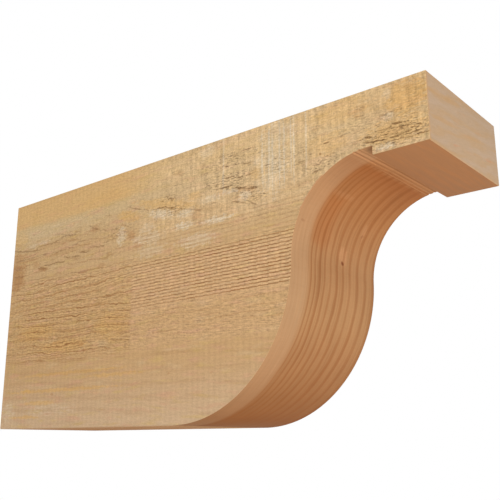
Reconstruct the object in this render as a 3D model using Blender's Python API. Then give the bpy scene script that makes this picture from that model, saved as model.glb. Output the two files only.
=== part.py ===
# Rafter tail: one sawn softwood timber whose lower front corner is cut away to an ogee.
# Units are metres. +X runs from the back face to the nose, +Z is up, and the width lies along Y.
# The origin is at the underside's level, under the middle of the timber's length and width.

import math

import bmesh
import bpy

# Driving dimensions of the timber
LENGTH = 0.6096
WIDTH = 0.1524
HEIGHT = 0.2953

# Driving dimensions of the ogee cut, read from the nose down to the underside
NOSE_LENGTH = 0.0559
NOSE_HEIGHT = 0.0647
NOSE_LIP = 0.0088
FILLET_FLAT = 0.0030
ROUND_RADIUS = 0.1515

# The slight easing of every outer edge
EASED_EDGE = 0.0008

# Facets in each quarter of the ogee, and the largest turn that still counts as one surface
ARC_FACETS = 32
SMOOTH_ANGLE = math.radians(30)
FLAT_ANGLE = math.radians(0.5)
WELD_DISTANCE = 0.00001

# Dry, unfinished softwood
TIMBER_COLOUR = (0.56, 0.36, 0.18, 1.0)
TIMBER_ROUGHNESS = 0.8

# Levels and places that follow from the driving dimensions
BACK_X = -LENGTH / 2
NOSE_X = LENGTH / 2
NOSE_UNDERSIDE = HEIGHT - NOSE_HEIGHT
LIP_X = NOSE_X - NOSE_LENGTH
COVE_TOP = NOSE_UNDERSIDE + NOSE_LIP
COVE_RADIUS = COVE_TOP - ROUND_RADIUS
COVE_CENTRE_X = LIP_X - FILLET_FLAT
ROUND_CENTRE_X = COVE_CENTRE_X - COVE_RADIUS - ROUND_RADIUS


def clear_scene():
    for obj in list(bpy.data.objects):
        bpy.data.objects.remove(obj, do_unlink=True)


def arc(centre_x, centre_z, radius, start, end):
    """Points of a circle from one angle to another, both ends included."""
    points = []
    for step in range(ARC_FACETS + 1):
        angle = start + (end - start) * step / ARC_FACETS
        points.append((centre_x + radius * math.cos(angle), centre_z + radius * math.sin(angle)))
    return points


def side_outline():
    """The timber seen from its side, anticlockwise from the lower back corner, as (x, z) points."""
    quarter = math.pi / 2
    round_part = arc(ROUND_CENTRE_X, ROUND_RADIUS, ROUND_RADIUS, -quarter, 0.0)
    cove_part = arc(COVE_CENTRE_X, ROUND_RADIUS, COVE_RADIUS, 2 * quarter, quarter)
    nose_part = [
        (LIP_X, COVE_TOP),
        (LIP_X, NOSE_UNDERSIDE),
        (NOSE_X, NOSE_UNDERSIDE),
        (NOSE_X, HEIGHT),
    ]
    # The round ends where the cove begins, so that shared point is taken once.
    return [(BACK_X, 0.0)] + round_part + cove_part[1:] + nose_part + [(BACK_X, HEIGHT)]


def outline_curve(name, outline, thickness):
    """A filled flat curve of the outline, standing in the XZ plane and thickened along Y."""
    curve = bpy.data.curves.new(name, "CURVE")
    curve.dimensions = "2D"
    curve.fill_mode = "BOTH"
    curve.extrude = thickness / 2
    spline = curve.splines.new("POLY")
    spline.points.add(len(outline) - 1)
    for point, (x, z) in zip(spline.points, outline):
        point.co = (x, z, 0.0, 1.0)
    spline.use_cyclic_u = True
    obj = bpy.data.objects.new(name, curve)
    obj.rotation_euler = (math.pi / 2, 0.0, 0.0)
    bpy.context.scene.collection.objects.link(obj)
    return obj


def mesh_from_curve(curve_object, name, collection):
    """Turns the curve into a mesh object at the same place and removes the curve."""
    bpy.context.view_layer.update()
    evaluated = curve_object.evaluated_get(bpy.context.evaluated_depsgraph_get())
    mesh = bpy.data.meshes.new_from_object(evaluated)
    mesh.name = name
    obj = bpy.data.objects.new(name, mesh)
    obj.matrix_world = curve_object.matrix_world
    collection.objects.link(obj)
    bpy.data.objects.remove(curve_object, do_unlink=True)
    return obj


def ease_edges(mesh):
    """Joins the loose caps, makes each one face, and takes the sharpness off the outer edges."""
    shape = bmesh.new()
    shape.from_mesh(mesh)
    bmesh.ops.remove_doubles(shape, verts=shape.verts, dist=WELD_DISTANCE)
    bmesh.ops.dissolve_limit(shape, angle_limit=FLAT_ANGLE, verts=shape.verts, edges=shape.edges)
    bmesh.ops.recalc_face_normals(shape, faces=shape.faces)
    outer = [edge for edge in shape.edges if edge.is_convex and edge.calc_face_angle() > SMOOTH_ANGLE]
    bmesh.ops.bevel(
        shape,
        geom=outer,
        offset=EASED_EDGE,
        offset_type="OFFSET",
        segments=1,
        profile=0.5,
        affect="EDGES",
        clamp_overlap=True,
    )
    shape.to_mesh(mesh)
    shape.free()


def timber_material():
    material = bpy.data.materials.new("timber")
    material.use_nodes = True
    shader = material.node_tree.nodes["Principled BSDF"]
    shader.inputs["Base Color"].default_value = TIMBER_COLOUR
    shader.inputs["Roughness"].default_value = TIMBER_ROUGHNESS
    shader.inputs["Metallic"].default_value = 0.0
    return material


def rafter_tail(collection):
    outline = outline_curve("side_outline", side_outline(), WIDTH)
    timber = mesh_from_curve(outline, "rafter_tail", collection)
    ease_edges(timber.data)
    timber.data.materials.clear()
    timber.data.materials.append(timber_material())
    timber.data.shade_smooth()
    timber.data.set_sharp_from_angle(angle=SMOOTH_ANGLE)
    return timber


def main():
    clear_scene()
    parts = bpy.data.collections.new("rafter_tail")
    bpy.context.scene.collection.children.link(parts)
    rafter_tail(parts)


main()
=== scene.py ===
import math

import bmesh
import bpy
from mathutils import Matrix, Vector


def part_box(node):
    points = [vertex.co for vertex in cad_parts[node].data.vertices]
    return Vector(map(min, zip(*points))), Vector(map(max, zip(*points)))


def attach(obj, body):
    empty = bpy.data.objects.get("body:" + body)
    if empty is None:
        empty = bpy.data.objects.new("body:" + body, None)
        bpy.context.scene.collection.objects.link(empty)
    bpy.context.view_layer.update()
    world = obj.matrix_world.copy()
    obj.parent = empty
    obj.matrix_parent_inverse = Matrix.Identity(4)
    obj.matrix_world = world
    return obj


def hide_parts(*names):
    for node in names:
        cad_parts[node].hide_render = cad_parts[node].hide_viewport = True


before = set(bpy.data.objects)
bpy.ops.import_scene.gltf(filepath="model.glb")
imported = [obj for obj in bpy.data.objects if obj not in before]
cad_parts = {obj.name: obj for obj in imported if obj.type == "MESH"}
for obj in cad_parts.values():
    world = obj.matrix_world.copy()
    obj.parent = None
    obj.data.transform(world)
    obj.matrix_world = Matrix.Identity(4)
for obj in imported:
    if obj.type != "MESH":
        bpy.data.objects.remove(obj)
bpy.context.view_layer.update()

# Sizes are metres, as in the frame.
# Finishes measure in millimetres, from the timber's back, near side and underside.
LOW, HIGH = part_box("rafter_tail")
BACK_X, NOSE_X = LOW.x, HIGH.x
NEAR_Y, FAR_Y = LOW.y, HIGH.y
HEIGHT = HIGH.z
MM = 1000.0
TURN = 2 * math.pi

# The ogee cut, from the nose down to the underside
NOSE_LENGTH = 0.0559
NOSE_HEIGHT = 0.0647
NOSE_LIP = 0.0088
FILLET_FLAT = 0.0030
ROUND_RADIUS = 0.1515
LIP_X = NOSE_X - NOSE_LENGTH
NOSE_UNDERSIDE = HEIGHT - NOSE_HEIGHT
COVE_TOP = NOSE_UNDERSIDE + NOSE_LIP
COVE_RADIUS = COVE_TOP - ROUND_RADIUS
COVE_CENTRE_X = LIP_X - FILLET_FLAT
ROUND_FRONT = COVE_CENTRE_X - COVE_RADIUS
ROUND_CENTRE_X = ROUND_FRONT - ROUND_RADIUS
CUT_LENGTH = TURN / 4 * (COVE_RADIUS + ROUND_RADIUS) + FILLET_FLAT

# How finely the timber is made
ROUND_FACETS = 80
COVE_FACETS = 56
EASED_EDGE = 0.0007
EASED_FACETS = 2
SHARP = math.radians(30)
FLAT = math.radians(0.4)
WELD = 0.00001

# The floor lies far below, because the photo looks up at the timber, and the background is white
FLOOR_Z = -1.6
FLOOR_RADIUS = 4.0
FLOOR_COLOUR = (0.8, 0.8, 0.79, 1)
BACKGROUND_LIGHT = 0.55

# The camera is low beside the nose, looking up and back along the timber
CAMERA_PLACE = (0.5541, -0.6172, -0.0176)
CAMERA_LENS = 52.98
CAMERA_PITCH_UP = math.radians(14.73)
CAMERA_TURN_LEFT = math.radians(39.51)

# Two shallow flutes behind the lip, across the whole width: from the lip to each edge or bottom,
# how deep they are, and the area that they lie in, back from the lip and down from the cove's top
FLUTE_EDGES = (0.0105, 0.0165, 0.0220)
FLUTE_BOTTOMS = (0.0135, 0.0193)
FLUTE_DEPTH = 0.0008
FLUTE_AREA = (0.05, 0.015)

# The relief that the saw left, cut into the timber: how wide each form is, how deep, and where the
# torn wood begins, from the underside up and from the back end forward
KERF_PITCH = 0.0075
KERF_DEPTH = 0.00030
TORN_FIBRE = (0.0060, 0.0040, 0.0018)
TORN_DEPTH = 0.00060
TORN_FROM_HEIGHT = (0.198, 0.212)
TORN_FROM_BACK = (0.22, 0.34)
UNEVEN = (0.09, 0.09, 0.05)
UNEVEN_DEPTH = 0.0005
EDGE_MARGIN = 0.0022

# How far apart the timber's faces are cut, so that the relief has points to move
NEAR_STEPS = (0.0016, 0.0018)
FAR_STEPS = (0.0024, 0.0048)
WIDE_STEP = 0.0095


def deselect_everything():
    if bpy.context.object and bpy.context.object.mode != "OBJECT":
        bpy.ops.object.mode_set(mode="OBJECT")
    bpy.ops.object.select_all(action="DESELECT")


def pick(obj, kind, wanted):
    """Selects, in edit mode, the faces or edges for which wanted is true, and nothing else."""
    bpy.ops.mesh.select_mode(type=kind)
    bpy.ops.mesh.select_all(action="DESELECT")
    shape = bmesh.from_edit_mesh(obj.data)
    for part in shape.faces if kind == "FACE" else shape.edges:
        if wanted(part):
            part.select_set(True)
    shape.select_flush_mode()
    bmesh.update_edit_mesh(obj.data)


def edge_at(x, z):
    """A test for the edge that runs across the timber at this x and z."""
    def wanted(edge):
        return all(abs(v.co.x - x) < WELD and abs(v.co.z - z) < WELD for v in edge.verts)
    return wanted


def extrude(move):
    bpy.ops.mesh.extrude_region_move(TRANSFORM_OT_translate={"value": move})


def ogee_block():
    """The timber's plain form: a block with its nose drawn out and its inner and lower corners rounded."""
    body = Vector((ROUND_FRONT - BACK_X, FAR_Y - NEAR_Y, HEIGHT))
    middle = Vector(((ROUND_FRONT + BACK_X) / 2, (FAR_Y + NEAR_Y) / 2, HEIGHT / 2))
    bpy.ops.mesh.primitive_cube_add(size=1, location=middle, scale=body)
    timber = bpy.context.object
    timber.name = "sawn_timber"
    timber.data.name = "sawn_timber"
    bpy.ops.object.transform_apply(location=True, rotation=True, scale=True)
    bpy.ops.object.mode_set(mode="EDIT")
    bpy.ops.mesh.select_all(action="SELECT")
    bpy.ops.mesh.bisect(plane_co=(0, 0, COVE_TOP), plane_no=(0, 0, 1))

    pick(timber, "FACE", lambda f: f.normal.x > 0.9 and f.calc_center_median().z > COVE_TOP)
    extrude((LIP_X - ROUND_FRONT, 0, 0))
    extrude((NOSE_LENGTH, 0, 0))
    pick(timber, "FACE", lambda f: f.normal.z < -0.9 and f.calc_center_median().x > LIP_X)
    extrude((0, 0, -NOSE_LIP))

    bpy.ops.mesh.select_all(action="SELECT")
    bpy.ops.mesh.remove_doubles(threshold=WELD)
    bpy.ops.mesh.dissolve_limited(angle_limit=FLAT)
    pick(timber, "EDGE", edge_at(ROUND_FRONT, COVE_TOP))
    bpy.ops.mesh.bevel(offset=COVE_RADIUS, segments=COVE_FACETS, profile=0.5, affect="EDGES",
                       clamp_overlap=False)
    pick(timber, "EDGE", edge_at(ROUND_FRONT, 0))
    bpy.ops.mesh.bevel(offset=ROUND_RADIUS, segments=ROUND_FACETS, profile=0.5, affect="EDGES",
                       clamp_overlap=False)
    bpy.ops.mesh.select_all(action="SELECT")
    bpy.ops.mesh.remove_doubles(threshold=WELD)
    bpy.ops.mesh.normals_make_consistent(inside=False)
    return timber


def ease_edges(timber):
    pick(timber, "EDGE", lambda e: e.is_convex and e.calc_face_angle() > SHARP)
    bpy.ops.mesh.bevel(offset=EASED_EDGE, segments=EASED_FACETS, profile=0.5, affect="EDGES",
                       clamp_overlap=True)


def slice_faces(timber, wanted, axis, low, high, step):
    """Cuts the faces that wanted picks by even planes across one axis, and leaves the others whole."""
    pick(timber, "FACE", wanted)
    bpy.ops.mesh.hide(unselected=True)
    normal = Vector((0, 0, 0))
    normal[axis] = 1
    for number in range(math.ceil((high - low) / step)):
        place = low + step * (number + 0.5)
        bpy.ops.mesh.select_all(action="SELECT")
        bpy.ops.mesh.bisect(plane_co=normal * place, plane_no=normal)
    bpy.ops.mesh.reveal(select=False)


def cut_flutes(timber):
    """Presses two shallow flutes into the top of the cove, just behind the lip."""
    reach, drop = FLUTE_AREA

    def near_lip(face):
        centre = face.calc_center_median()
        inside = LIP_X - reach < centre.x < LIP_X and abs(centre.z - COVE_TOP) < drop
        return inside and face.normal.z < -0.2

    for distance in FLUTE_EDGES + FLUTE_BOTTOMS:
        pick(timber, "FACE", near_lip)
        bpy.ops.mesh.bisect(plane_co=(LIP_X - distance, 0, 0), plane_no=(1, 0, 0))
    bottoms = [LIP_X - distance for distance in FLUTE_BOTTOMS]
    pick(timber, "EDGE", lambda e: all(
        min(abs(v.co.x - x) for x in bottoms) < WELD and abs(v.co.z - COVE_TOP) < drop for v in e.verts))
    bpy.ops.transform.translate(value=(0, 0, FLUTE_DEPTH))


def is_near(face):
    return face.normal.y < -0.99


def is_far(face):
    return face.normal.y > 0.99


def is_flat_long(face):
    """The top and the underside."""
    return abs(face.normal.z) > 0.99 and (face.normal.z > 0 or face.calc_center_median().z < WELD)


def is_back(face):
    return face.normal.x < -0.99 and face.calc_center_median().x < BACK_X + WELD


def slice_timber(timber):
    """Cuts the faces into small squares. All the upright cuts come first, while the timber has few faces."""
    slice_faces(timber, is_near, 0, BACK_X, NOSE_X, NEAR_STEPS[0])
    slice_faces(timber, is_far, 0, BACK_X, NOSE_X, FAR_STEPS[0])
    slice_faces(timber, is_flat_long, 0, BACK_X, NOSE_X, FAR_STEPS[0])
    slice_faces(timber, is_back, 1, NEAR_Y, FAR_Y, WIDE_STEP / 2)
    slice_faces(timber, is_back, 2, 0, HEIGHT, FAR_STEPS[1])
    slice_faces(timber, is_flat_long, 1, NEAR_Y, FAR_Y, WIDE_STEP)
    slice_faces(timber, is_far, 2, 0, HEIGHT, FAR_STEPS[1])
    slice_faces(timber, is_near, 2, 0, HEIGHT, NEAR_STEPS[1])


def outline_margin(x, z):
    """How far a point of the side lies inside the side's outline."""
    margin = min(x - BACK_X, NOSE_X - x, z, HEIGHT - z)
    if x > LIP_X - FILLET_FLAT:
        return min(margin, z - (NOSE_UNDERSIDE if x > LIP_X else COVE_TOP))
    if z > ROUND_RADIUS and x > ROUND_FRONT:
        return min(margin, math.hypot(x - COVE_CENTRE_X, z - ROUND_RADIUS) - COVE_RADIUS)
    if z < ROUND_RADIUS and x > ROUND_CENTRE_X:
        return min(margin, ROUND_RADIUS - math.hypot(x - ROUND_CENTRE_X, z - ROUND_RADIUS))
    return margin if z > COVE_TOP else min(margin, ROUND_FRONT - x)


def ramp(value, start, end):
    return min(max((value - start) / (end - start), 0.0), 1.0)


def sawn_share(point):
    """How much of the saw's relief a point takes: all of it on the sawn faces, and none at their edges."""
    from_sides = min(point.y - NEAR_Y, FAR_Y - point.y)
    if from_sides < WELD:
        return ramp(outline_margin(point.x, point.z), EASED_EDGE, EDGE_MARGIN)
    flat = point.z > HEIGHT - WELD or point.z < WELD or point.x < BACK_X + WELD
    return ramp(from_sides, EASED_EDGE, EDGE_MARGIN) if flat and inside_flat(point) else 0.0


def inside_flat(point):
    """Whether a point of the back end, the top or the underside lies clear of that face's ends."""
    ends = min(point.x - BACK_X, NOSE_X - point.x)
    if point.x < BACK_X + WELD:
        return min(point.z, HEIGHT - point.z) > EDGE_MARGIN
    return ends > EDGE_MARGIN and (point.z > WELD or point.x < ROUND_CENTRE_X - EDGE_MARGIN)


def torn_share(point):
    """The torn wood is at the upper front of the near side."""
    if point.y > NEAR_Y + WELD:
        return 0.0
    high_enough = ramp(point.z, *TORN_FROM_HEIGHT)
    return high_enough * ramp(point.x - BACK_X, *TORN_FROM_BACK) * sawn_share(point)


def press(timber, name, kind, settings, origin, scale, share, depth):
    """Presses a texture into the timber, as deep as share says at each point, and never outwards."""
    texture = bpy.data.textures.new(name, kind)
    for setting, value in settings.items():
        setattr(texture, setting, value)
    guide = bpy.data.objects.new(name, None)
    guide.location = origin
    guide.scale = scale
    bpy.context.scene.collection.objects.link(guide)
    group = timber.vertex_groups.new(name=name)
    for vertex in timber.data.vertices:
        amount = share(vertex.co)
        if amount > 0:
            group.add([vertex.index], amount, "REPLACE")
    relief = timber.modifiers.new(name, "DISPLACE")
    relief.texture = texture
    relief.texture_coords = "OBJECT"
    relief.texture_coords_object = guide
    relief.vertex_group = name
    relief.mid_level = 1.0
    relief.strength = depth
    return relief, guide


def press_relief(timber):
    """The saw's upright ridges, the uneven faces and the torn fibres."""
    straight = {"wood_type": "BANDS", "noise_basis_2": "SIN"}
    soft = {"noise_basis": "IMPROVED_PERLIN", "noise_scale": 1.0, "noise_depth": 2}
    far_off = 1000.0
    turn = TURN / 10
    start = (BACK_X, 0, 0)
    pressed = [
        press(timber, "saw_ridges", "WOOD", straight, start, (KERF_PITCH / turn, far_off, far_off),
              sawn_share, KERF_DEPTH),
        press(timber, "uneven_faces", "CLOUDS", soft, start, UNEVEN, sawn_share, UNEVEN_DEPTH),
        press(timber, "torn_fibres", "CLOUDS", soft, start, TORN_FIBRE, torn_share, TORN_DEPTH),
    ]
    bpy.context.view_layer.update()
    for relief, guide in pressed:
        bpy.ops.object.modifier_apply(modifier=relief.name)
        bpy.data.objects.remove(guide, do_unlink=True)
    timber.vertex_groups.clear()


def make_timber():
    deselect_everything()
    timber = ogee_block()
    ease_edges(timber)
    cut_flutes(timber)
    slice_timber(timber)
    bpy.ops.object.mode_set(mode="OBJECT")
    press_relief(timber)
    bpy.ops.object.shade_smooth_by_angle(angle=SHARP)
    return timber


class Field:
    """A number that varies over a surface. It is a node's output, and sums on it become Math nodes."""

    def __init__(self, finish, socket):
        self.finish = finish
        self.socket = socket

    def other(self, output):
        """Another output of the same node."""
        return Field(self.finish, self.socket.node.outputs[output])

    def __add__(self, other):
        return self.finish.maths("ADD", self, other)

    def __radd__(self, other):
        return self.finish.maths("ADD", other, self)

    def __sub__(self, other):
        return self.finish.maths("SUBTRACT", self, other)

    def __rsub__(self, other):
        return self.finish.maths("SUBTRACT", other, self)

    def __mul__(self, other):
        return self.finish.maths("MULTIPLY", self, other)

    def __rmul__(self, other):
        return self.finish.maths("MULTIPLY", other, self)

    def __truediv__(self, other):
        return self.finish.maths("DIVIDE", self, other)

    def __rtruediv__(self, other):
        return self.finish.maths("DIVIDE", other, self)


def paint(red, green, blue):
    """A colour given as 0 to 255 values, made linear for the nodes."""
    channels = (value / 255 for value in (red, green, blue))
    return tuple(c / 12.92 if c <= 0.04045 else ((c + 0.055) / 1.055) ** 2.4 for c in channels) + (1.0,)


class Finish:
    """The material of one face, and the grains, lines and marks that it is painted with."""

    def __init__(self, name):
        self.material = bpy.data.materials.new(name)
        self.material.use_nodes = True
        self.nodes = self.material.node_tree.nodes
        self.links = self.material.node_tree.links
        self.shader = self.nodes["Principled BSDF"]
        place = self.node("ShaderNodeTexCoord", {}, {}, "Object")
        split = self.node("ShaderNodeSeparateXYZ", {}, {"Vector": place})
        self.along = (split.other("X") - BACK_X) * MM
        self.across = (split.other("Y") - NEAR_Y) * MM
        self.up = split.other("Z") * MM

    def node(self, kind, settings, inputs, output=0):
        node = self.nodes.new(kind)
        for name, value in settings.items():
            if name == "stops":
                self.set_stops(node.color_ramp.elements, value)
            else:
                setattr(node, name, value)
        for name, value in inputs.items():
            if isinstance(value, Field):
                self.links.new(value.socket, node.inputs[name])
            else:
                node.inputs[name].default_value = value
        return Field(self, node.outputs[output])

    def set_stops(self, elements, stops):
        while len(elements) < len(stops):
            elements.new(1.0)
        for element, (place, colour) in zip(elements, stops):
            element.position = place
            element.color = colour

    def maths(self, operation, *values):
        return self.node("ShaderNodeMath", {"operation": operation}, dict(enumerate(values)))

    def wave(self, turns):
        """A sine, -1 to 1, that repeats once a turn."""
        return self.maths("SINE", turns * TURN)

    def rest(self, turns):
        """What is left of the last whole turn, 0 to 1."""
        return self.maths("FRACT", turns)

    def rise(self, value, start, end, low=0.0, high=1.0):
        """low up to start, high from end on, smooth between. It falls instead where end is below start."""
        settings = {"interpolation_type": "SMOOTHSTEP", "clamp": False}
        inputs = {"Value": value, "From Min": start, "From Max": end, "To Min": low, "To Max": high}
        return self.node("ShaderNodeMapRange", settings, inputs)

    def slope(self, value, start, end, low, high):
        """A straight run from low to high, level outside start and end."""
        inputs = {"Value": value, "From Min": start, "From Max": end, "To Min": low, "To Max": high}
        return self.node("ShaderNodeMapRange", {}, inputs)

    def band(self, value, low, high, soft):
        return self.rise(value, low - soft, low + soft) * self.rise(value, high + soft, high - soft)

    def noise(self, a, b, c=0.0, detail=2.0, rough=0.5):
        """Noise of about -1 to 1, at a place counted in its own cells."""
        place = self.node("ShaderNodeCombineXYZ", {}, {"X": a, "Y": b, "Z": c})
        inputs = {"Vector": place, "Scale": 1.0, "Detail": detail, "Roughness": rough}
        return (self.node("ShaderNodeTexNoise", {"noise_dimensions": "3D"}, inputs) - 0.5) * 4

    def place(self, a, b):
        """A place on a face, which marks are measured from."""
        return self.node("ShaderNodeCombineXYZ", {}, {"X": a, "Y": b, "Z": 1.0})

    def along_line(self, place, rate_a, rate_b, offset):
        inputs = {0: place, 1: (rate_a, rate_b, offset)}
        return self.node("ShaderNodeVectorMath", {"operation": "DOT_PRODUCT"}, inputs, "Value")

    def distance(self, place, centre, reach, lean):
        """The square of the distance from an oval's centre, 1 at its edge."""
        (a, b), (long, high) = centre, reach
        run = self.along_line(place, 1 / long, 0, -a / long)
        lift = self.along_line(place, -lean / high, 1 / high, (lean * a - b) / high)
        return self.maths("MULTIPLY_ADD", run, run, lift * lift)

    def mark(self, place, centre, reach, lean=0.0, ragged=0.0):
        """An oval mark, 1 at its centre and 0 past its reach, with a ragged edge where one is given."""
        return self.rise(self.distance(place, centre, reach, lean) + ragged, 1.0, 0.1)

    def marks(self, table, place, ragged):
        """All the marks of a table, laid one over another, each as strong as it says."""
        outside, full = 1.0 - ragged, 0.1 - ragged
        total = 0.0
        for centre, reach, lean, strength in table:
            distance = self.distance(place, centre, reach, lean)
            total = self.rise(distance, outside, full, total, strength)
        return total

    def mix(self, first, second, share):
        """A mix of two colours. The node's colour sockets are its seventh and eighth."""
        return self.node("ShaderNodeMix", {"data_type": "RGBA"}, {0: share, 6: first, 7: second}, 2)

    def brighten(self, colour, factor):
        inputs = {0: colour if isinstance(colour, Field) else colour[:3], "Scale": factor}
        return self.node("ShaderNodeVectorMath", {"operation": "SCALE"}, inputs)

    def complete(self, colour, roughness, height, gloss):
        """Joins a colour and a height in millimetres to the shader, with an even roughness and gloss."""
        self.links.new(colour.socket, self.shader.inputs["Base Color"])
        self.shader.inputs["Roughness"].default_value = roughness
        bump = self.node("ShaderNodeBump", {}, {"Strength": 1.0, "Distance": 1 / MM, "Height": height})
        self.links.new(bump.socket, self.shader.inputs["Normal"])
        self.shader.inputs["Specular IOR Level"].default_value = gloss
        return self.material


# Marks on the near side in millimetres: (along, up), (half length, half height), rise to the right, strength
GRAIN_LINES = (
    ((8, 232.3), (15, 1.2), -0.12, 0.68),
    ((26, 229), (18, 1.2), -0.1, 0.68),
    ((49, 227), (18, 1.1), -0.04, 0.61),
    ((62, 231.3), (13, 1.0), 0.05, 0.47),
    ((80, 231), (18, 1.0), -0.02, 0.47),
    ((95, 232.5), (12, 1.1), 0.12, 0.47),
    ((106, 235), (9, 1.1), 0.25, 0.47),
    ((119, 235), (18, 1.2), -0.06, 0.61),
    ((134, 236.5), (9, 0.9), 0.1, 0.32),
    ((96, 240.5), (10, 1.3), -0.1, 0.4),
    ((106, 238), (10, 1.3), -0.35, 0.4),
    ((24, 217.8), (28, 1.1), 0.03, 0.54),
    ((52, 218.2), (18, 0.9), -0.02, 0.4),
    ((70, 218), (10, 1.4), -0.03, 0.61),
    ((88, 217), (15, 0.9), -0.08, 0.4),
    ((106, 217.5), (15, 1.1), 0.05, 0.4),
    ((121, 218.5), (10, 1.1), -0.08, 0.47),
    ((132, 221), (10, 1.1), 0.2, 0.47),
    ((146, 223.3), (10, 1.0), -0.1, 0.61),
    ((160, 222.4), (13, 0.8), -0.03, 0.32),
    ((76, 203), (10, 1.3), -0.2, 0.61),
    ((88, 202.3), (12, 1.2), -0.08, 0.68),
    ((103, 202.8), (13, 1.2), -0.1, 0.72),
    ((118, 206.8), (13, 1.1), -0.1, 0.61),
    ((134, 205.3), (13, 1.2), -0.1, 0.61),
    ((151, 208.3), (13, 1.3), -0.08, 0.72),
    ((166, 211.8), (12, 1.0), -0.08, 0.54),
    ((179, 210.6), (12, 1.2), -0.1, 0.68),
    ((192, 213.6), (10, 1.1), 0, 0.54),
    ((202, 214.6), (10, 1.0), -0.08, 0.47),
    ((163, 237), (8, 1.1), -0.45, 0.47),
    ((170, 234), (10, 1.7), -0.2, 0.47),
    ((192, 246.3), (8, 0.9), -0.15, 0.61),
    ((187, 229), (13, 0.9), -0.2, 0.4),
    ((205, 226.5), (10, 1.3), -0.15, 0.47),
    ((62, 187.5), (31, 1.0), -0.02, 0.47),
    ((140, 184.5), (28, 1.2), -0.02, 0.54),
    ((66, 200), (12, 2.2), -0.15, 0.54),
    ((12, 206), (10, 1.7), -0.1, 0.4),
    ((16, 196), (13, 1.3), -0.1, 0.4),
    ((14, 187), (12, 1.3), 0.05, 0.4),
    ((231, 249.7), (8, 0.8), 0.05, 0.5),
    ((243, 244.5), (14, 1.0), -0.28, 0.6),
    ((258, 240.3), (8, 0.8), -0.2, 0.5),
    ((279, 237.3), (10, 1.0), 0.0, 0.9),
    ((297, 234.5), (12, 1.2), -0.25, 0.9),
    ((322, 228), (16, 1.4), -0.28, 0.4),
    ((338, 223.5), (10, 1.1), -0.2, 0.5),
    ((292, 248), (5, 0.9), -0.05, 0.8),
    ((301, 244.8), (6, 1.2), -0.1, 0.8),
    ((311, 258.5), (10, 0.8), -0.05, 0.6),
    ((384, 249.8), (10, 1.0), 0.0, 1.0),
    ((399.5, 246), (5, 1.2), -0.1, 1.0),
    ((411, 246.2), (8, 0.9), 0.05, 0.6),
    ((379, 239.7), (9, 1.1), 0.05, 1.0),
    ((400, 234.8), (9, 1.6), -0.3, 0.9),
    ((416, 231), (11, 1.3), -0.1, 0.9),
    ((393, 221), (7, 1.2), -0.2, 0.7),
    ((404, 217.5), (8, 1.2), -0.25, 0.6),
    ((416, 215), (6, 1.2), -0.5, 0.6),
    ((409, 274.8), (11, 1.0), -0.02, 0.6),
    ((378, 275.5), (12, 0.9), 0.0, 0.4),
    ((392, 272.6), (5, 1.6), 0.0, 0.4),
    ((409, 260), (11, 1.2), -0.1, 0.6),
    ((378, 263.3), (9, 0.9), -0.1, 0.5),
    ((392, 261.5), (6, 0.9), 0.0, 0.5),
    ((362, 226.8), (6, 0.9), -0.2, 0.5),
    ((330, 251), (10, 0.8), -0.1, 0.4),
    ((352, 262), (12, 0.8), 0.0, 0.4),
    ((434, 251), (5, 0.9), -0.1, 0.7),
    ((505, 255.6), (4.5, 1.0), 0.0, 1.0),
    ((524, 258.4), (9, 0.9), 0.05, 0.6),
    ((494, 230.4), (6, 1.0), 0.1, 0.9),
    ((502, 239), (5, 0.9), 0.05, 0.6),
    ((475, 244), (6, 0.9), 0.0, 0.6),
    ((498, 246), (1.5, 1.5), 0.0, 0.8),
    ((578, 254.4), (7, 1.0), -0.05, 1.0),
    ((566, 251.8), (10, 0.9), -0.08, 0.6),
    ((585, 250), (11, 0.9), -0.08, 0.9),
    ((601, 247.3), (6, 1.2), -0.2, 1.0),
    ((594, 246), (8, 0.8), -0.05, 0.8),
    ((549, 248.4), (6, 1.0), -0.05, 1.0),
    ((536, 245.8), (5, 0.8), -0.05, 0.7),
    ((550, 244.2), (7, 0.9), -0.05, 0.9),
    ((560, 242.6), (12, 1.1), -0.05, 1.0),
    ((578, 241.8), (8, 0.9), 0.03, 1.0),
    ((596, 241.9), (8, 1.0), 0.0, 1.0),
    ((580, 239.2), (10, 0.8), -0.05, 0.9),
    ((602, 238.6), (8, 0.9), 0.0, 0.9),
    ((565, 246.6), (8, 0.7), 0.0, 0.5),
    ((573, 244.6), (9, 0.7), 0.05, 0.6),
    ((589, 244.2), (9, 0.7), -0.05, 0.7),
    ((543, 279.5), (7, 0.8), -0.1, 0.6),
    ((541, 272), (8, 0.7), -0.1, 0.5),
    ((565, 265.5), (4, 1.0), 0.0, 0.5),
    ((575, 267.3), (7, 0.8), -0.05, 0.5),
)
DASH_PATCHES = (
    ((297, 246), (14, 5), 0.0, 0.8),
    ((300, 231), (28, 8), -0.2, 0.7),
    ((385, 246), (40, 12), 0.0, 0.8),
    ((385, 268), (48, 12), 0.0, 0.5),
    ((412, 226), (26, 10), -0.2, 0.7),
    ((460, 250), (30, 16), 0.0, 0.35),
    ((500, 236), (26, 9), 0.2, 0.7),
    ((556, 246), (22, 8), 0.0, 0.9),
    ((592, 247), (28, 11), -0.1, 1.0),
    ((575, 237), (34, 5), 0.0, 0.8),
    ((560, 262), (50, 10), 0.0, 0.4),
    ((212, 222), (30, 9), 0.1, 0.5),
)
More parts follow.
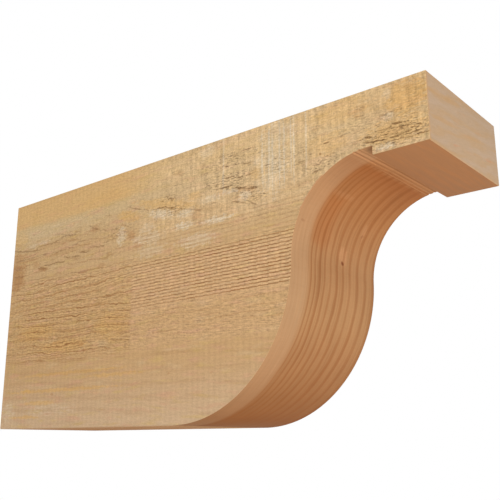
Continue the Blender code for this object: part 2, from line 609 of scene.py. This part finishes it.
BROWN_STAINS = (
    ((6, 222), (30, 9), 0.0, 0.6),
    ((10, 204), (26, 17), 0.0, 0.9),
    ((12, 189), (22, 15), 0.0, 1.0),
    ((52, 207), (10, 5), -0.2, 0.5),
    ((95, 229), (60, 4), 0.03, 0.3),
    ((120, 216), (70, 3.5), 0.05, 0.3),
    ((30, 215), (36, 3), 0.0, 0.5),
    ((580, 272), (46, 26), 0.0, 0.25),
    ((68, 199), (13, 4.5), -0.1, 0.8),
    ((169, 234), (12, 6), -0.1, 0.6),
    ((185, 186), (10, 4), 0.0, 0.5),
    ((236, 213), (8, 8), 0.0, 0.7),
    ((247, 199), (9, 4), 0.0, 0.5),
    ((310, 272), (10, 5), -0.2, 0.4),
    ((338, 219), (9, 8), 0.0, 0.45),
    ((110, 101), (18, 2.5), 0.0, 0.6),
    ((153, 95), (8, 4), 0.0, 0.6),
    ((100, 84), (40, 3), 0.0, 0.4),
    ((180, 141), (26, 2), 0.0, 0.5),
    ((104, 40), (4, 1.6), 0.0, 0.7),
    ((303, 53), (3, 1.2), 0.0, 0.5),
    ((363, 50), (3, 1.2), 0.0, 0.5),
    ((543, 276), (14, 9), 0.0, 0.3),
    ((406, 232), (20, 5), -0.15, 0.5),
    ((565, 248), (26, 6), 0.0, 0.4),
    ((538, 252), (66, 12), 0.0, 0.13),
)
PALE_PATCHES = (
    ((44, 234), (16, 5), 0.0, 0.5),
    ((66, 235.5), (14, 3), 0.0, 0.7),
    ((60, 248), (40, 7), 0.0, 0.4),
    ((218, 216), (9, 13), 0.0, 0.8),
    ((282, 230), (22, 7), -0.2, 0.85),
    ((321, 223), (15, 6), 0.0, 0.8),
    ((320, 210), (20, 5), 0.0, 1.0),
    ((247, 207), (12, 5), 0.0, 0.6),
    ((262, 218), (16, 7), 0.0, 0.5),
    ((366, 207.5), (28, 4), 0.0, 1.0),
    ((356, 232), (16, 5), 0.0, 0.6),
    ((385, 234), (12, 3), 0.0, 0.8),
    ((406, 225), (10, 7), 0.0, 0.7),
    ((268, 205), (24, 9), 0.0, 0.5),
    ((440, 245), (22, 34), 0.0, 0.55),
    ((568, 235.5), (12, 4.5), 0.0, 0.9),
    ((571, 263), (7, 6), 0.0, 0.6),
    ((571, 285), (6, 6), 0.0, 0.5),
    ((448, 278), (28, 22), 0.0, 0.4),
    ((268, 190), (28, 9), 0.0, 0.45),
    ((338, 190), (34, 9), 0.0, 0.6),
    ((70, 248), (100, 12), 0.0, 0.2),
    ((423, 257), (8, 6), 0.0, 0.5),
    ((353, 286), (14, 9), 0.0, 0.4),
    ((100, 22), (60, 8), 0.0, 0.35),
    ((15, 20), (16, 14), 0.0, 0.5),
)
GOLD_PATCHES = (
    ((12, 247), (22, 11), 0.0, 0.5),
    ((207, 112), (34, 20), 0.0, 0.4),
    ((230, 238), (24, 8), -0.2, 0.7),
    ((120, 96), (60, 10), 0.0, 0.5),
    ((590, 277), (28, 20), 0.0, 0.8),
    ((580, 248), (44, 16), 0.0, 0.6),
    ((520, 282), (40, 14), 0.0, 0.4),
    ((190, 268), (70, 12), 0.05, 0.25),
    ((290, 240), (62, 8), -0.22, 0.6),
    ((505, 254), (30, 14), 0.0, 0.4),
    ((130, 63.5), (120, 2.6), 0.0, 0.6),
    ((215, 57), (60, 3.0), 0.0, 0.6),
    ((120, 44), (130, 2.6), 0.0, 0.7),
    ((52, 44.5), (12, 3.0), 0.0, 0.9),
    ((80, 30), (40, 3.0), 0.0, 0.7),
    ((50, 13.5), (40, 2.4), 0.0, 0.7),
    ((60, 118), (50, 14), 0.0, 0.5),
    ((425, 246), (16, 10), 0.0, 0.5),
    ((335, 240), (12, 6), 0.0, 0.4),
)
PALE_COLUMNS = (376, 428, 437, 441, 450, 455.5, 464, 467.5, 482)


def near_side_finish():
    """The rough sawn side: grain in level groups, torn wood at the top, upright saw marks."""
    f = Finish("rough_sawn_near_side")
    u, v = f.along, f.up
    drift = f.noise(u / 75, v / 30)
    ripple = f.noise(u / 17, v / 6, 5.0)
    patchy = f.noise(u / 26, v / 7, 11.0)
    blotch = f.noise(u / 8, v / 2.6, 23.0, 4.0, 0.65)
    seam = f.rise(u + ripple * 1.5, 237, 242)

    # Each stroke of the saw steps the grain a little and has a tone of its own
    strokes = u / (KERF_PITCH * MM) + drift * 0.3 + ripple * 0.15
    jog = f.rest(strokes * 0.62 + f.noise(u / 50, v / 5, 61.0) * 0.2) - 0.5
    stroke_tone = f.noise(f.maths("FLOOR", strokes * 1.7) * 3.7, v / 24)
    kerf = f.wave(u / (KERF_PITCH * MM))

    # Grain behind the seam wanders: bold lines that run on and fade, and fine ones between them
    tilt = f.slope(v, 135, 160, 0.035, -0.03)
    wild_level = v + (u - 165) * tilt + drift * 3.0 + ripple * 1.3 + jog * 0.7
    bold_turns = f.slope(wild_level, 0, 80, 0, 5.4) + f.slope(wild_level, 80, 190, 0, 12.6)
    fading = f.noise(u / 55, v / 6, 13.0)
    wild_group = (f.band(v, 78, 184, 8) * f.rise(u, -70, 80) * f.rise(u + ripple * 4, 243, 236)
                  * f.slope(u, 120, 240, 1.0, 0.75))
    bold = f.rise(f.wave(bold_turns), 0.6, 1.0) * wild_group * f.rise(fading, -0.9, 0.3)
    upper_turns = (v + drift * 7.0 + ripple * 1.5 + jog * 0.6) / 6.3
    upper_group = f.band(v, 186, 242, 8) * f.rise(u + ripple * 8, 270, 220)
    upper = f.rise(f.wave(upper_turns), 0.3, 1.0) * upper_group * f.rise(fading + blotch * 0.6, -0.5, 0.7)
    fine_wave = f.wave((wild_level + drift) / 3.1)
    loose = f.rise(f.wave((v + drift * 2.5 + ripple * 1.2 + jog * 0.8) / 5.4), 0.3, 1.0)
    loose_group = f.band(v, 92, 126, 4) * seam * f.rise(fading + blotch * 0.5, -0.6, 0.6)
    low_lines = f.rise(f.wave(bold_turns) + fading, 0.2, 1.4) * f.rise(v, 84, 76) * 0.22

    # In front of the seam it is close and straight, but each saw stroke breaks it into a slanting dash
    close_level = v - (u - 240) * 0.008 + jog * 0.5 + ripple * 0.3
    close_turns = f.slope(close_level, 127, 179.5, 0, 15) + f.slope(close_level, 179.5, 212, 0, 7)
    close = f.wave(close_turns)
    close_group = f.band(v, 127, 179, 2.0) * seam
    above_group = f.band(v, 181, 212, 3.0) * seam
    close_strength = (above_group * (0.28 + blotch * 0.3)
                      + close_group * (f.slope(u, 240, 400, 0.75, 1.1) + patchy * 0.45 + blotch * 0.45))
    fine_strength = wild_group * (0.55 + fading * 0.35 + blotch * 0.45)
    dark_line = (f.rise(close, 0.1, 0.95) * close_strength * 1.12 + upper * 0.6 + low_lines
                 + bold * f.slope(v, 84, 120, 0.5, 0.9)
                 + loose * loose_group * 0.5 + f.rise(fine_wave, 0.1, 1.0) * fine_strength)
    # The pale line beside each dark grain line is a painted highlight on the raised ridges of the grain
    painted_ridge_highlight = f.rise(close, -0.1, -1.0) * close_strength + f.rise(fine_wave, -0.1, -1.0) * fine_strength

    # Streaks along the grain, dashes, fibres and grit, rougher where the wood is torn
    torn = f.rise(v + drift * 6 + ripple * 2, 196, 214) * f.rise(u + drift * 30, 200, 330)
    wavy = f.place(u, v + ripple * 0.9 + jog * 0.8)
    streak = f.noise(u / 30, (v + ripple * 0.8) / 2.2, 41.0, 2.0, 0.6)
    fibre = f.noise(u / 6.5, v / 1.9 + u * 0.05, 9.0, 3.0, 0.65)
    grit = f.noise(u / 2.2, v / 1.6, 17.0, 2.0, 0.65)
    lined = f.band(v, 84, 184, 6)
    thread = f.noise(u / 11, v / 1.15 + u * 0.02, 27.0, 2.0, 0.6) * lined
    hairline = f.noise(u / 1.5, v / 16, 3.0, 3.0, 0.65)
    dash_patch = f.marks(DASH_PATCHES, wavy, blotch * 0.6)
    raised = (f.rise(v + drift * 6, 182, 202) * 0.35 + torn * 0.15 + lined * 0.5
              + dash_patch * (0.3 + torn * 0.35))
    dash = f.rise(f.noise(u / 4.8, v / 1.5 + u * 0.03, 51.0, 2.0, 0.6) + hairline * 0.35, 0.0, 0.65)
    kerf_strength = torn * (0.7 + patchy * 0.5) + 0.15

    # The marks that can be told apart
    broken = f.rise(hairline + fibre * 0.5, -0.75, -0.1)
    grain_line = f.marks(GRAIN_LINES, wavy, blotch * 0.7) * (0.35 + broken * 0.65)
    dashes = dash_patch * dash
    stain = f.marks(BROWN_STAINS, wavy, blotch * 0.6 + fibre * 0.3) * (0.8 + streak * 0.3 + fibre * 0.25)
    pale = f.marks(PALE_PATCHES, wavy, blotch + hairline * 0.6) * (0.75 + streak * 0.5 + fibre * 0.3)
    gold = f.marks(GOLD_PATCHES, wavy, blotch * 0.7)
    slip = f.mark(wavy, (486.5, 208.5), (16, 6.5), 1.1, blotch * 0.3)
    columns = f.marks([((along, 262), (1.6, 42), 0.0, 1.0) for along in PALE_COLUMNS], wavy, hairline)
    dark_mark = f.maths("MINIMUM", grain_line + dashes * 0.75, 1.0)

    base = f.node("ShaderNodeValToRGB", {"stops": (
        (0.00, paint(194, 163, 128)),
        (0.12, paint(190, 156, 118)),
        (0.22, paint(188, 151, 107)),
        (0.38, paint(187, 149, 101)),
        (0.56, paint(190, 153, 107)),
        (0.66, paint(190, 156, 112)),
        (0.75, paint(189, 154, 109)),
        (0.85, paint(192, 163, 120)),
        (0.92, paint(196, 164, 115)),
        (1.00, paint(196, 162, 113)),
    )}, {"Fac": (v + drift * 4) / (HEIGHT * MM)}, "Color")
    colour = f.mix(base, paint(196, 148, 116), f.rise(f.noise(u / 32, v / 7, 31.0), 0.0, 1.0) * 0.5)
    colour = f.mix(colour, paint(190, 158, 98), f.rise(f.noise(u / 30, v / 6, 37.0), 0.1, 1.0) * 0.5)
    colour = f.mix(colour, paint(200, 172, 132), f.rise(f.noise(u / 36, v / 9, 71.0), 0.1, 1.2) * 0.4)
    colour = f.mix(colour, paint(203, 172, 130), torn * (0.5 + patchy * 0.4))
    orange = f.band(v + drift * 3, 262, 300, 3) * f.rise(u, 290, 200)
    colour = f.mix(colour, paint(204, 160, 102), orange * 0.5)
    rosy = f.band(v + drift * 3, 124, 174, 8) * 0.26 + f.band(v, 84, 124, 8) * 0.15
    colour = f.mix(colour, paint(214, 174, 138), rosy * seam)
    colour = f.mix(colour, paint(204, 156, 84), gold * 0.65)
    colour = f.mix(colour, paint(156, 102, 54), stain * 0.62)
    colour = f.mix(colour, paint(210, 195, 169), pale * 0.66 + columns * 0.4)
    colour = f.mix(colour, paint(140, 93, 50), dark_line * 0.60)
    colour = f.mix(colour, paint(102, 66, 29), dark_mark * 0.74)
    rough_dash = dash * (raised * 0.22 + wild_group * 0.05 + 0.03)
    fine = fibre * (0.07 + raised * 0.17) + grit * (0.09 + raised * 0.23 - lined * 0.06)
    # The kerf term in the tone lightens and darkens the saw's upright ridges: painted light and shade of the
    # saw's relief, on top of the real relief in the mesh and the bump
    tone = (1.0 + painted_ridge_highlight * 0.08 + streak * 0.06 + kerf * kerf_strength * 0.04 + hairline * torn * 0.16
            + thread * 0.23 + stroke_tone * (0.02 + torn * 0.12) + fine * (1.0 - orange * 0.35)
            + wild_group * 0.03 - rough_dash)
    # Painted light: the side darkens steadily from the nose towards the back end, as a lamp near the nose
    # would light it, and brightens a little again within 100 mm of the back end
    painted_falloff = f.slope(u, 0, 420, 0.885, 0.985) + f.rise(u, 100, 10) * 0.022
    colour = f.brighten(colour, tone * painted_falloff)
    # The edge of the cut was rubbed off a little at the top of the curve
    colour = f.mix(colour, f.brighten(paint(185, 137, 96), 1.0 + hairline * 0.03), f.rise(slip, 0.1, 0.4))

    height = (kerf * kerf_strength * 0.06 + close * close_group * 0.10 - dark_line * 0.06
              + fibre * (0.03 + raised * 0.08) + thread * 0.05 + grit * 0.03 + streak * 0.03
              - dark_mark * 0.15 - rough_dash * 0.5)
    return f.complete(colour, 0.85, height, 0.2)


def ring_turns(f, y, s):
    """The growth rings on the cut and the underside: how many lie between a place and the pale strip."""
    ring_y = y - 3 * (1 - s / 130)
    return (f.maths("SQRT", f.maths("MAXIMUM", (ring_y - 33) * 2.32 + 36, 0.0)) - 6) / 1.16


def cut_finish():
    """The smooth ogee cut: growth rings that run round it, wider and wider apart towards the far side."""
    f = Finish("smooth_ogee_cut")
    y = f.across
    cove_turn = f.maths("ARCTAN2", (COVE_CENTRE_X - BACK_X) * MM - f.along, f.up - ROUND_RADIUS * MM)
    round_turn = f.maths("ARCTAN2", ROUND_RADIUS * MM - f.up, f.along - (ROUND_CENTRE_X - BACK_X) * MM)
    quarter = TURN / 4
    flat_part = f.slope(f.along, (COVE_CENTRE_X - BACK_X) * MM, (LIP_X - BACK_X) * MM, FILLET_FLAT * MM, 0.0)
    s = (f.slope(cove_turn, 0, quarter, 0, quarter * COVE_RADIUS * MM)
         + f.slope(round_turn, 0, quarter, 0, quarter * ROUND_RADIUS * MM) + flat_part)
    drift = f.noise(y / 60, s / 90)
    ripple = f.noise(y / 14, s / 30, 5.0)
    wander = drift * 1.6 + ripple * 0.7
    turns = ring_turns(f, y + wander, s)
    own = f.noise(turns * 0.73, s / 110, 7.0)
    line = f.wave(turns + 0.25)
    ringed = f.rise(y + drift * 1.5, 24, 33) * f.rise(s, 21.6, 22.4)
    dark_line = f.rise(line + own * 0.7, -0.35, 1.1) * ringed
    inner_line = f.rise(f.wave(turns * 2.0 + 0.1) + own, 0.4, 1.4) * ringed
    strip_line = f.rise(f.wave((y + wander) / 6.0 + 0.25), 0.0, 1.0) * (1 - ringed)
    fibre = f.noise(y / 1.1, s / 16, 3.0, 3.0, 0.6)
    streak = f.noise(y / 2.6, s / 70, 19.0, 2.0, 0.6)
    chatter = f.noise(y / 30, s / 1.6, 29.0, 2.0, 0.6)
    cloud = f.noise(y / 26, s / 34, 37.0)

    # Light and dark lines run along the lip over the two flutes: painted shade and painted highlight of the
    # flutes
    flute_light_wave = f.wave((s - f.slope(y, 0, 70, 2.2, 0.0) - 11.5) / 4.25 + 0.25)
    lip_zone = f.band(s, 9.5, 22.0, 0.6) * (0.7 + f.noise(y / 24, s / 6, 43.0) * 0.4)
    ring_start = f.band(s, 21.9, 23.0, 0.4) * f.rise(y, 30, 50)

    # Small knots, each with a paler patch of short grain above it
    place = f.place(y, s)
    knot = f.mark(place, (88.5, 131), (4.2, 3.0), 0.2, ripple * 0.5)
    second_knot = f.mark(place, (113, 97), (4.0, 3.0), -0.2, ripple * 0.6) * 0.25
    speck = f.mark(place, (9, 103), (4.0, 2.0), 0.1, ripple * 0.6) * 0.22
    halo = (f.mark(place, (88, 124), (10, 11), 0.3, fibre)
            + f.mark(place, (113, 92), (7, 9), 0.3, fibre) * 0.7
            + f.mark(place, (48, 65), (24, 4), 0.0, fibre) * 0.25)

    # The cut's tone along its length; the darkening towards the bottom of the round is painted shade, as
    # from a surface just beneath it
    shade = f.node("ShaderNodeValToRGB", {"stops": (
        (0.00, paint(180, 128, 84)),
        (0.050, paint(176, 121, 75)),
        (0.070, paint(162, 99, 53)),
        (0.20, paint(175, 118, 71)),
        (0.35, paint(185, 136, 91)),
        (0.50, paint(184, 136, 91)),
        (0.60, paint(173, 123, 80)),
        (0.75, paint(156, 104, 62)),
        (0.88, paint(143, 87, 43)),
        (1.00, paint(140, 92, 54)),
    )}, {"Fac": s / (CUT_LENGTH * MM)}, "Color")
    strip_depth = f.slope(s, 30, 110, 0.35, 0.55) * f.slope(s, 180, 330, 1.0, 0.35)
    pale = f.mix(shade, paint(196, 156, 116), strip_depth)
    colour = f.mix(pale, shade, f.rise(y + drift * 1.5, 23, 33))
    reddish = f.band(y + drift * 4, 30, 56, 8) * f.band(s + ripple * 6, 66, 120, 6)
    colour = f.mix(colour, paint(176, 96, 40), reddish * 0.3)
    colour = f.mix(colour, paint(206, 150, 104), halo * 0.6)
    colour = f.mix(colour, paint(142, 80, 34), dark_line * 0.42)
    colour = f.mix(colour, paint(142, 82, 40), inner_line * 0.2)
    # Painted shade in the flutes' dark lines, with a dark line where the rings begin, then a painted
    # highlight on the flutes' light lines
    flute_shade_and_ring_edge = f.rise(flute_light_wave, 0.2, 1.0) * lip_zone + ring_start * 0.7
    colour = f.mix(colour, paint(140, 78, 38), flute_shade_and_ring_edge * 0.5)
    colour = f.mix(colour, paint(214, 152, 104), f.rise(flute_light_wave, 0.0, -1.0) * lip_zone * 0.45)
    colour = f.mix(colour, paint(166, 112, 70), strip_line * 0.12)
    colour = f.mix(colour, paint(112, 52, 22), knot * 0.8 + second_knot + speck)
    even = f.slope(y, 20, 120, 0.945, 1.01)
    tone = even + fibre * 0.035 + streak * 0.05 + chatter * 0.02 + cloud * 0.035
    colour = f.brighten(colour, tone)
    height = fibre * 0.012 + dark_line * 0.03 + streak * 0.01 - knot * 0.15
    return f.complete(colour, 0.75, height, 0.12)


def nose_end_finish():
    """The nose's square end, sawn across: soft bands of the growth rings that climb to the far side."""
    f = Finish("sawn_nose_end")
    y, v = f.across, f.up
    drift = f.noise(y / 50, v / 14)
    level = v - y * 0.17 + drift * 2.5
    bands = f.wave(level / 17.0 + drift * 0.25)
    soft = f.noise(y / 45, level / 6, 5.0)
    fibre = f.noise(y / 9, level / 1.5, 9.0, 3.0, 0.6)
    grit = f.noise(y / 2.2, level / 1.8, 13.0, 2.0, 0.6)
    colour = f.mix(paint(191, 160, 128), paint(194, 156, 114), f.rise(bands + soft, 0.0, 1.3) * 0.5)
    colour = f.mix(colour, paint(194, 166, 140), f.rise(soft - bands, 0.1, 1.4) * 0.5)
    colour = f.mix(colour, paint(202, 150, 110), f.rise(f.noise(y / 24, level / 4, 21.0), 0.3, 1.2) * 0.35)
    place = f.place(y, v)
    cloudy = soft * 0.5
    reddish = (f.mark(place, (55, 242.5), (9, 1.6), 0.25, fibre)
               + f.mark(place, (131, 250.5), (12, 1.6), 0.12, fibre))
    golden = (f.mark(place, (30, 282), (46, 4), 0.1, cloudy)
              + f.mark(place, (30, 258), (34, 3), 0.14, cloudy)
              + f.mark(place, (96, 262), (40, 3), 0.17, cloudy) * 0.7)
    colour = f.mix(colour, paint(206, 144, 106), reddish * 0.4)
    colour = f.mix(colour, paint(198, 152, 98), golden * 0.42)
    edge = f.rise(v, 234, 230) + f.rise(y, 4, 0) * 1.4 + f.rise(v, 290, 295) * 0.6
    colour = f.mix(colour, paint(204, 152, 94), edge * (0.3 + grit * 0.3))
    colour = f.brighten(colour, 0.995 + fibre * 0.05 + grit * 0.03 + f.slope(y, 0, 152, -0.03, 0.045)
                        + f.slope(v, 232, 295, -0.045, 0.055))
    return f.complete(colour, 0.75, fibre * 0.03 + grit * 0.03, 0.2)


def nose_underside_finish():
    """The smooth underside of the nose, with faint lines across the timber."""
    f = Finish("smooth_nose_underside")
    u, y = f.along, f.across
    drift = f.noise(y / 60, u / 12)
    fibre = f.noise(y / 16, (u + drift) / 1.3, 9.0, 3.0, 0.6)
    bands = f.noise(y / 80, (u + drift * 2) / 5, 15.0)
    colour = f.mix(paint(170, 118, 77), paint(174, 118, 74), f.rise(bands, -0.4, 0.8))
    colour = f.brighten(colour, f.slope(u, 556, 606, 1.02, 0.92) + fibre * 0.035 + bands * 0.03)
    return f.complete(colour, 0.75, fibre * 0.02, 0.15)


def underside_finish():
    """The flat underside, where the rings of the cut run straight on to the back end."""
    f = Finish("smooth_underside")
    u, y = f.along, f.across
    drift = f.noise(u / 110, y / 40)
    ripple = f.noise(u / 30, y / 12, 5.0)
    turns = ring_turns(f, y + drift * 2.5 + ripple * 0.7, CUT_LENGTH * MM)
    own = f.noise(turns * 0.73, u / 120, 7.0)
    ringed = f.rise(y + drift * 1.5, 26, 31)
    dark_line = f.rise(f.wave(turns + 0.25) + own * 0.7, -0.35, 1.1) * ringed
    fibre = f.noise(u / 16, y / 1.2, 3.0, 3.0, 0.6)
    grit = f.noise(u / 2.4, y / 1.8, 17.0, 2.0, 0.6)
    kerf = f.wave(u / (KERF_PITCH * MM))
    colour = f.mix(paint(190, 150, 110), paint(176, 128, 84), ringed)
    colour = f.mix(colour, paint(148, 88, 44), dark_line * 0.42)
    colour = f.mix(colour, paint(196, 152, 102), f.rise(f.noise(u / 60, y / 16, 31.0), 0.0, 1.0) * 0.5)
    # The kerf term lightens and darkens the saw's ridges a little: painted light and shade of the saw's
    # relief
    colour = f.brighten(colour, 1.0 + fibre * 0.06 + grit * 0.04 + kerf * 0.012)
    return f.complete(colour, 0.8, fibre * 0.03 + grit * 0.02 + kerf * 0.03, 0.15)


def hidden_face_finish(run, lift, turns):
    """The colour and the height of a rough sawn face out of the photo's sight, plainer than the near side.

    run and lift are places along and across the grain, and turns counts the growth rings."""
    f = run.finish
    drift = f.noise(run / 75, lift / 30, 61.0)
    ripple = f.noise(run / 17, lift / 6, 65.0)
    patchy = f.noise(run / 30, lift / 8, 67.0)
    fibre = f.noise(run / 7, lift / 1.9 + run * 0.04, 69.0, 3.0, 0.65)
    grit = f.noise(run / 2.2, lift / 1.6, 73.0, 2.0, 0.65)
    streak = f.noise(run / 34, lift / 2.4, 75.0, 2.0, 0.6)
    hairline = f.noise(run / 1.5, lift / 16, 77.0, 3.0, 0.65)
    kerf = f.wave(run / (KERF_PITCH * MM))
    line = f.wave(turns + drift * 0.35 + ripple * 0.12)
    dark_line = f.rise(line, 0.2, 1.0) * (0.55 + patchy * 0.4)
    dash = f.rise(f.noise(run / 6, lift / 1.7, 79.0, 2.0, 0.6) + hairline * 0.3, 0.2, 0.9)
    torn = f.rise(f.noise(run / 90, lift / 40, 83.0), 0.0, 0.6)
    colour = f.mix(paint(198, 160, 110), paint(192, 152, 108), f.rise(patchy, -0.4, 0.6))
    colour = f.mix(colour, paint(202, 156, 118), f.rise(f.noise(run / 40, lift / 10, 87.0), 0.1, 1.0) * 0.5)
    colour = f.mix(colour, paint(206, 176, 134), torn * 0.6)
    colour = f.mix(colour, paint(132, 86, 46), dark_line * 0.38)
    # The kerf term lightens and darkens the saw's ridges a little: painted light and shade of the saw's
    # relief
    tone = (1.0 + fibre * (0.07 + torn * 0.06) + grit * (0.05 + torn * 0.06) + streak * 0.08
            + hairline * torn * 0.08 + kerf * 0.012 - dash * (0.04 + torn * 0.1))
    colour = f.brighten(colour, tone)
    height = kerf * 0.015 + fibre * 0.05 + grit * 0.02 - dark_line * 0.05 - dash * 0.06
    return colour, height


def far_side_finish():
    """The far side lies nearer the bark, so its rings show as long arches, with two small knots."""
    f = Finish("rough_sawn_far_side")
    u, v = f.along, f.up
    lift = v - 165
    turns = lift * lift / 1150 - u / 130
    colour, height = hidden_face_finish(u, v, turns)
    place = f.place(u, v)
    ragged = f.noise(u / 5, v / 5, 91.0) * 0.5
    knot = f.mark(place, (190, 96), (9, 6), 0.1, ragged) + f.mark(place, (402, 214), (7, 5), -0.1, ragged)
    ring = f.mark(place, (190, 96), (16, 11), 0.1, ragged) + f.mark(place, (402, 214), (13, 9), -0.1, ragged)
    colour = f.mix(colour, paint(160, 104, 58), ring * 0.5)
    colour = f.mix(colour, paint(98, 56, 28), knot * 0.8)
    return f.complete(colour, 0.85, height - knot * 0.2, 0.2)


def top_finish():
    f = Finish("rough_sawn_top")
    turns = (f.across + f.noise(f.along / 160, f.across / 50, 55.0) * 8) / 7.5
    colour, height = hidden_face_finish(f.along, f.across, turns)
    return f.complete(colour, 0.85, height, 0.2)


def back_end_finish():
    """The back end, cut square: growth rings as wide arcs, with short cracks and the saw's level marks."""
    f = Finish("sawn_back_end")
    y, v = f.across, f.up
    out_y, out_v = y - 118, v + 60
    radius = f.maths("SQRT", out_y * out_y + out_v * out_v)
    swing = f.maths("ARCTAN2", out_y, out_v)
    drift = f.noise(y / 60, v / 60)
    turns = radius / 6.5 + drift * 0.8
    line = f.rise(f.wave(turns), 0.0, 1.0)
    grit = f.noise(y / 2.2, v / 2.2, 17.0, 3.0, 0.65)
    saw_mark = f.noise(y / 60, v / 1.4, 23.0, 3.0, 0.6)
    crack_zone = f.rise(f.noise(swing * 60, radius / 26, 31.0, 2.0, 0.6), 0.75, 1.0)
    cloud = f.noise(y / 40, v / 30, 37.0)
    colour = f.mix(paint(190, 152, 112), paint(196, 150, 100), f.rise(cloud, -0.4, 0.6))
    colour = f.mix(colour, paint(156, 106, 64), line * (0.26 + cloud * 0.15))
    colour = f.mix(colour, paint(90, 62, 38), crack_zone * 0.6)
    colour = f.brighten(colour, 0.98 + grit * 0.07 + saw_mark * 0.09)
    height = saw_mark * 0.06 + grit * 0.05 - crack_zone * 0.2 + line * 0.03
    return f.complete(colour, 0.85, height, 0.2)


def dress_timber(timber):
    """Gives each face of the timber its own finish, by the way that it faces and its place."""
    finishes = {
        "near": near_side_finish(),
        "cut": cut_finish(),
        "nose_end": nose_end_finish(),
        "nose_underside": nose_underside_finish(),
        "underside": underside_finish(),
        "far": far_side_finish(),
        "top": top_finish(),
        "back": back_end_finish(),
    }
    names = list(finishes)
    for name in names:
        timber.data.materials.append(finishes[name])
    for face in timber.data.polygons:
        face.material_index = names.index(finish_name(face.normal, face.center))


def finish_name(normal, centre):
    if normal.y < -0.7:
        return "near"
    if normal.y > 0.7:
        return "far"
    if normal.z > 0.7:
        return "top"
    if normal.x < -0.7 and centre.x < BACK_X + EASED_EDGE:
        return "back"
    if centre.x > NOSE_X - EASED_EDGE * 1.5:
        return "nose_end"
    if centre.x > LIP_X - EASED_EDGE and normal.z < -0.7:
        return "nose_underside"
    if centre.x < ROUND_CENTRE_X:
        return "underside"
    return "cut"


def make_camera():
    camera_data = bpy.data.cameras.new("camera")
    camera_data.sensor_width = 36.0
    camera_data.lens = CAMERA_LENS
    camera = bpy.data.objects.new("camera", camera_data)
    camera.location = CAMERA_PLACE
    camera.rotation_euler = (math.radians(90) + CAMERA_PITCH_UP, 0, CAMERA_TURN_LEFT)
    bpy.context.scene.collection.objects.link(camera)
    bpy.context.scene.camera = camera


def aim_light(name, place, target, size, power):
    light_data = bpy.data.lights.new(name, "AREA")
    light_data.shape = "DISK"
    light_data.size = size
    light_data.energy = power
    light = bpy.data.objects.new(name, light_data)
    light.location = place
    light.rotation_euler = (Vector(target) - Vector(place)).to_track_quat("-Z", "Y").to_euler()
    bpy.context.scene.collection.objects.link(light)


def make_stage():
    deselect_everything()
    bpy.ops.mesh.primitive_circle_add(vertices=96, radius=FLOOR_RADIUS, fill_type="NGON",
                                      location=(0, 0, FLOOR_Z))
    floor = bpy.context.object
    floor.name = "floor"
    pale = bpy.data.materials.new("pale_floor")
    pale.use_nodes = True
    shader = pale.node_tree.nodes["Principled BSDF"]
    shader.inputs["Base Color"].default_value = FLOOR_COLOUR
    shader.inputs["Roughness"].default_value = 0.9
    floor.data.materials.append(pale)

    aim_light("high_key", place=(-0.1, -2.4, 2.0), target=(0.0, 0.0, 0.15), size=0.7, power=52)
    aim_light("low_front", place=(1.65, -0.5, -0.95), target=(0.2, 0.0, 0.15), size=1.1, power=23)

    # The background is white to the eye, and lights the timber less than that
    world = bpy.data.worlds.new("white_studio")
    bpy.context.scene.world = world
    world.use_nodes = True
    nodes, links = world.node_tree.nodes, world.node_tree.links
    path = nodes.new("ShaderNodeLightPath")
    seen = nodes.new("ShaderNodeMapRange")
    seen.inputs["To Min"].default_value = BACKGROUND_LIGHT
    links.new(path.outputs["Is Camera Ray"], seen.inputs["Value"])
    links.new(seen.outputs["Result"], nodes["Background"].inputs["Strength"])
    nodes["Background"].inputs["Color"].default_value = (1, 1, 1, 1)
    bpy.context.scene.view_settings.view_transform = "Standard"


timber = make_timber()
dress_timber(timber)
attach(timber, "root")
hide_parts("rafter_tail")
make_camera()
make_stage()
